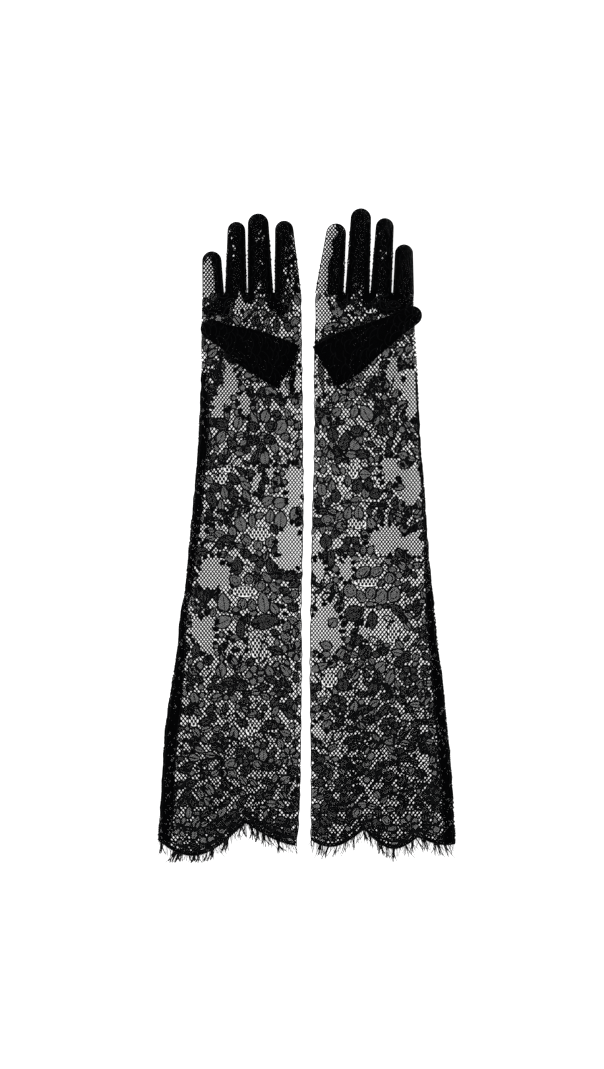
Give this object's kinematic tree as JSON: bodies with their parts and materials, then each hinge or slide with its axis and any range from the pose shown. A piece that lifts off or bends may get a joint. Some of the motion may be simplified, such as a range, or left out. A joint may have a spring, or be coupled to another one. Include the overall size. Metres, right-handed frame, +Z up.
{
  "type": "opera gloves",
  "caption": "Pair of black lace gloves that reach over the elbow, lying flat with palms up and thumbs folded over, hems scalloped and fringed, jointed at elbows, wrists and fingers",
  "frame": {"origin": "on the surface that the gloves lie on, under the middle of the pair's box", "axes": "+X towards the left-hand glove, +Y from hem to fingertips, +Z up out of the palms"},
  "size_m": [0.277, 0.6014, 0.0168],
  "materials": {
    "chantilly_lace": "fine black diamond net with leaves and flowers filled in darker net and outlined in glossy cord",
    "gusset_net": "dense plain black net, folded",
    "seam_lace": "lapped lace seam, sewn over the lace",
    "eyelash_fringe": "loose ends of thread beyond the scalloped edge"
  },
  "bodies": {
    "upper_arms": {"right_upper_arm_palm_lace": "chantilly_lace", "right_upper_arm_back_lace": "chantilly_lace", "right_upper_arm_side_seam": "seam_lace", "right_palm_fringe": "eyelash_fringe", "right_back_fringe": "eyelash_fringe", "left_upper_arm_palm_lace": "chantilly_lace", "left_upper_arm_back_lace": "chantilly_lace", "left_upper_arm_side_seam": "seam_lace", "left_palm_fringe": "eyelash_fringe", "left_back_fringe": "eyelash_fringe"},
    "right_forearm": {"right_forearm_palm_lace": "chantilly_lace", "right_forearm_back_lace": "chantilly_lace", "right_forearm_side_seam": "seam_lace"},
    "right_hand": {"right_hand_palm_lace": "chantilly_lace", "right_hand_back_lace": "chantilly_lace", "right_thumb_gore": "seam_lace", "right_index_middle_quirk": "gusset_net", "right_middle_ring_quirk": "gusset_net", "right_ring_little_quirk": "gusset_net"},
    "right_index": {"right_index_palm_strip": "chantilly_lace", "right_index_back_strip": "chantilly_lace", "right_index_outer_fourchette": "gusset_net"},
    "right_middle": {"right_middle_palm_strip": "chantilly_lace", "right_middle_back_strip": "chantilly_lace", "right_middle_inner_fourchette": "gusset_net", "right_middle_outer_fourchette": "gusset_net"},
    "right_ring": {"right_ring_palm_strip": "chantilly_lace", "right_ring_back_strip": "chantilly_lace", "right_ring_inner_fourchette": "gusset_net", "right_ring_outer_fourchette": "gusset_net"},
    "right_little": {"right_little_palm_strip": "chantilly_lace", "right_little_back_strip": "chantilly_lace", "right_little_inner_fourchette": "gusset_net"},
    "right_thumb": {"right_thumb_outer_lace": "chantilly_lace", "right_thumb_inner_lace": "chantilly_lace"},
    "left_forearm": {"left_forearm_palm_lace": "chantilly_lace", "left_forearm_back_lace": "chantilly_lace", "left_forearm_side_seam": "seam_lace"},
    "left_hand": {"left_hand_palm_lace": "chantilly_lace", "left_hand_back_lace": "chantilly_lace", "left_thumb_gore": "seam_lace", "left_index_middle_quirk": "gusset_net", "left_middle_ring_quirk": "gusset_net", "left_ring_little_quirk": "gusset_net"},
    "left_index": {"left_index_palm_strip": "chantilly_lace", "left_index_back_strip": "chantilly_lace", "left_index_outer_fourchette": "gusset_net"},
    "left_middle": {"left_middle_palm_strip": "chantilly_lace", "left_middle_back_strip": "chantilly_lace", "left_middle_inner_fourchette": "gusset_net", "left_middle_outer_fourchette": "gusset_net"},
    "left_ring": {"left_ring_palm_strip": "chantilly_lace", "left_ring_back_strip": "chantilly_lace", "left_ring_inner_fourchette": "gusset_net", "left_ring_outer_fourchette": "gusset_net"},
    "left_little": {"left_little_palm_strip": "chantilly_lace", "left_little_back_strip": "chantilly_lace", "left_little_inner_fourchette": "gusset_net"},
    "left_thumb": {"left_thumb_outer_lace": "chantilly_lace", "left_thumb_inner_lace": "chantilly_lace"}
  },
  "joints": [
    {"name": "right_elbow", "type": "hinge", "parent": "upper_arms", "child": "right_forearm", "pos_m": [-0.0644, -0.14, 0.0092], "axis": [1, 0, 0], "range_deg": [0, 120]},
    {"name": "right_wrist", "type": "hinge", "parent": "right_forearm", "child": "right_hand", "pos_m": [-0.0525, 0.095, 0.0092], "axis": [1, 0, 0], "range_deg": [0, 80]},
    {"name": "right_index_knuckle", "type": "hinge", "parent": "right_hand", "child": "right_index", "pos_m": [-0.01775, 0.222, 0.0092], "axis": [1, 0, 0], "range_deg": [0, 90]},
    {"name": "right_middle_knuckle", "type": "hinge", "parent": "right_hand", "child": "right_middle", "pos_m": [-0.0418, 0.222, 0.0092], "axis": [1, 0, 0], "range_deg": [0, 90]},
    {"name": "right_ring_knuckle", "type": "hinge", "parent": "right_hand", "child": "right_ring", "pos_m": [-0.06385, 0.222, 0.0092], "axis": [1, 0, 0], "range_deg": [0, 90]},
    {"name": "right_little_knuckle", "type": "hinge", "parent": "right_hand", "child": "right_little", "pos_m": [-0.08465, 0.222, 0.0092], "axis": [1, 0, 0], "range_deg": [0, 90]},
    {"name": "right_thumb_crease", "type": "hinge", "parent": "right_hand", "child": "right_thumb", "pos_m": [-0.016, 0.15, 0.0078], "axis": [0, 1, 0], "range_deg": [0, 90]},
    {"name": "left_elbow", "type": "hinge", "parent": "upper_arms", "child": "left_forearm", "pos_m": [0.0644, -0.14, 0.0092], "axis": [1, 0, 0], "range_deg": [0, 120]},
    {"name": "left_wrist", "type": "hinge", "parent": "left_forearm", "child": "left_hand", "pos_m": [0.0525, 0.095, 0.0092], "axis": [1, 0, 0], "range_deg": [0, 80]},
    {"name": "left_index_knuckle", "type": "hinge", "parent": "left_hand", "child": "left_index", "pos_m": [0.01775, 0.222, 0.0092], "axis": [1, 0, 0], "range_deg": [0, 90]},
    {"name": "left_middle_knuckle", "type": "hinge", "parent": "left_hand", "child": "left_middle", "pos_m": [0.0418, 0.222, 0.0092], "axis": [1, 0, 0], "range_deg": [0, 90]},
    {"name": "left_ring_knuckle", "type": "hinge", "parent": "left_hand", "child": "left_ring", "pos_m": [0.06385, 0.222, 0.0092], "axis": [1, 0, 0], "range_deg": [0, 90]},
    {"name": "left_little_knuckle", "type": "hinge", "parent": "left_hand", "child": "left_little", "pos_m": [0.08465, 0.222, 0.0092], "axis": [1, 0, 0], "range_deg": [0, 90]},
    {"name": "left_thumb_crease", "type": "hinge", "parent": "left_hand", "child": "left_thumb", "pos_m": [0.016, 0.15, 0.0078], "axis": [0, -1, 0], "range_deg": [0, 90]}
  ]
}
